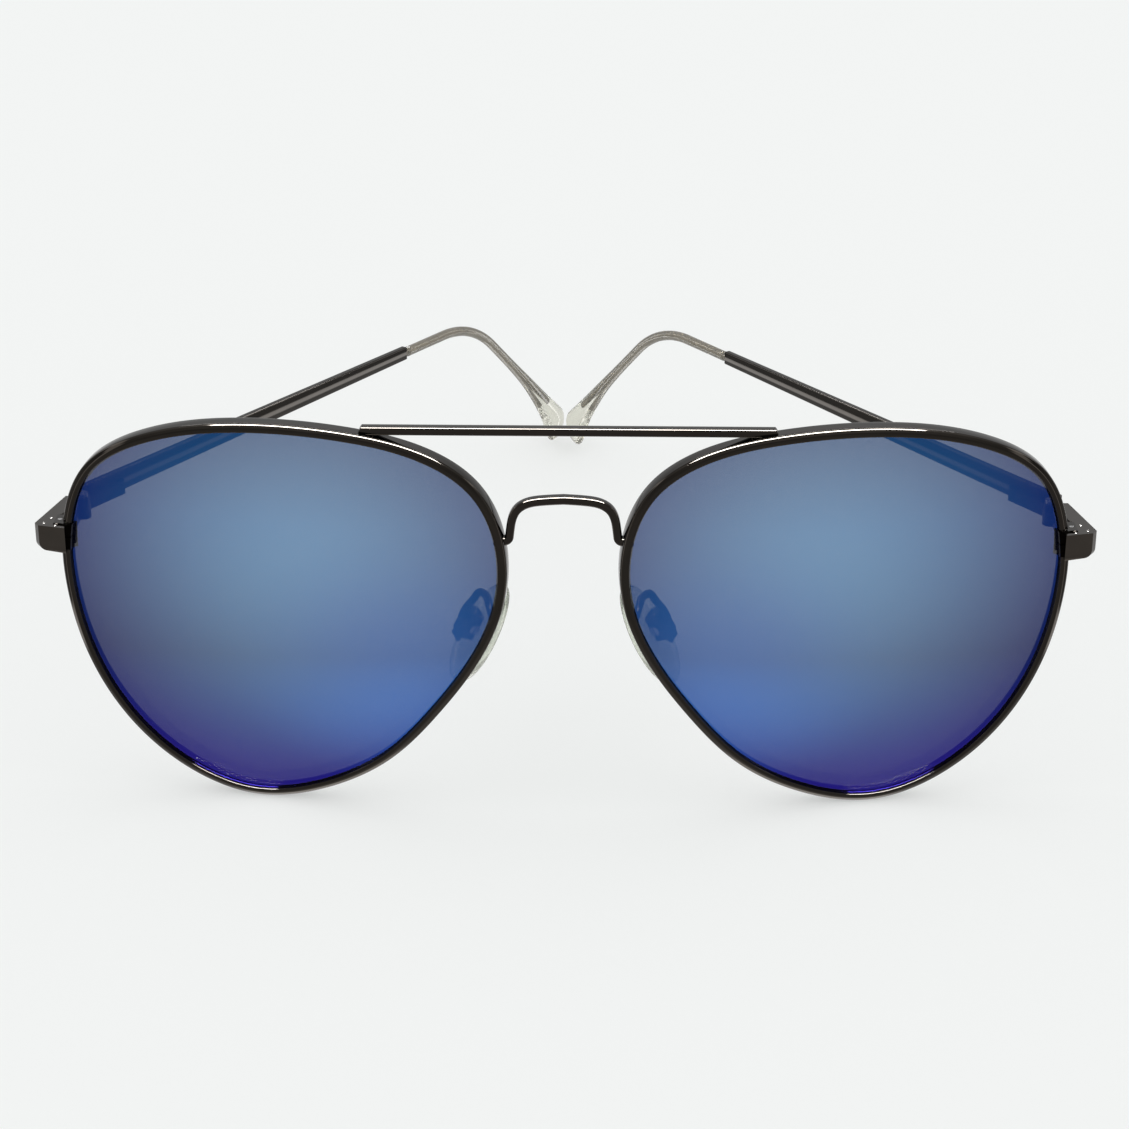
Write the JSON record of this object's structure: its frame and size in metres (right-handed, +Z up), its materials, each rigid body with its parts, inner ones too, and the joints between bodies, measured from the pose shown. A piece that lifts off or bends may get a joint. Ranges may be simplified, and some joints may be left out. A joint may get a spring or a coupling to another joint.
{
  "type": "aviator sunglasses",
  "caption": "Wire-framed teardrop sunglasses with blue mirror lenses, straight brow bar, arched bridge, rocking nose pads and folding temples with clear tips, standing part folded.",
  "frame": {"origin": "middle of the footprint, on the table it stands on", "axes": "+X to the wearer's left, along the width of the front; +Y from the lenses back towards the temple tips; +Z up from the table"},
  "size_m": [0.141, 0.1268, 0.0559],
  "materials": {
    "gunmetal": "polished gunmetal plating",
    "mirror_lens": "blue mirror coat over a grey tint",
    "screw_steel": "polished",
    "core_steel": "drawn wire",
    "clear_tip": "clear, slightly milky",
    "clear_pad": "clear, glossy",
    "pad_peg": "clear, glossy"
  },
  "bodies": {
    "front": {"bridge": "gunmetal", "brow_bar": "gunmetal", "left_rim": "gunmetal", "left_lens": "mirror_lens", "left_closing_block_upper": "gunmetal", "left_closing_block_lower": "gunmetal", "left_closing_screw": "screw_steel", "left_end_piece": "gunmetal", "left_front_hinge": "gunmetal", "left_hinge_screw": "screw_steel", "left_pad_arm": "gunmetal", "left_pad_box": "gunmetal", "left_pad_screw": "screw_steel", "right_rim": "gunmetal", "right_lens": "mirror_lens", "right_closing_block_upper": "gunmetal", "right_closing_block_lower": "gunmetal", "right_closing_screw": "screw_steel", "right_end_piece": "gunmetal", "right_front_hinge": "gunmetal", "right_hinge_screw": "screw_steel", "right_pad_arm": "gunmetal", "right_pad_box": "gunmetal", "right_pad_screw": "screw_steel"},
    "left_temple": {"left_temple_hinge": "gunmetal", "left_temple_blade": "gunmetal", "left_temple_core": "core_steel", "left_temple_sleeve": "clear_tip"},
    "left_pad": {"left_nose_pad": "clear_pad", "left_pad_insert": "pad_peg"},
    "right_temple": {"right_temple_hinge": "gunmetal", "right_temple_blade": "gunmetal", "right_temple_core": "core_steel", "right_temple_sleeve": "clear_tip"},
    "right_pad": {"right_nose_pad": "clear_pad", "right_pad_insert": "pad_peg"}
  },
  "joints": [
    {"name": "left_temple_fold", "type": "hinge", "parent": "front", "child": "left_temple", "pos_m": [0.0662, -0.0454, 0.03731], "axis": [0, 0.0831, 0.9965], "range_deg": [-32.7, 57.3]},
    {"name": "right_temple_fold", "type": "hinge", "parent": "front", "child": "right_temple", "pos_m": [-0.0662, -0.0454, 0.03731], "axis": [0, -0.0831, -0.9965], "range_deg": [-30.8, 55.2]},
    {"name": "left_pad_rock", "type": "hinge", "parent": "front", "child": "left_pad", "pos_m": [0.01298, -0.05186, 0.02328], "axis": [-0.3843, -0.9091, -0.1607], "range_deg": [-8, 8]},
    {"name": "right_pad_rock", "type": "hinge", "parent": "front", "child": "right_pad", "pos_m": [-0.01298, -0.05186, 0.02328], "axis": [0.3843, -0.9091, -0.1607], "range_deg": [-8, 8]}
  ]
}
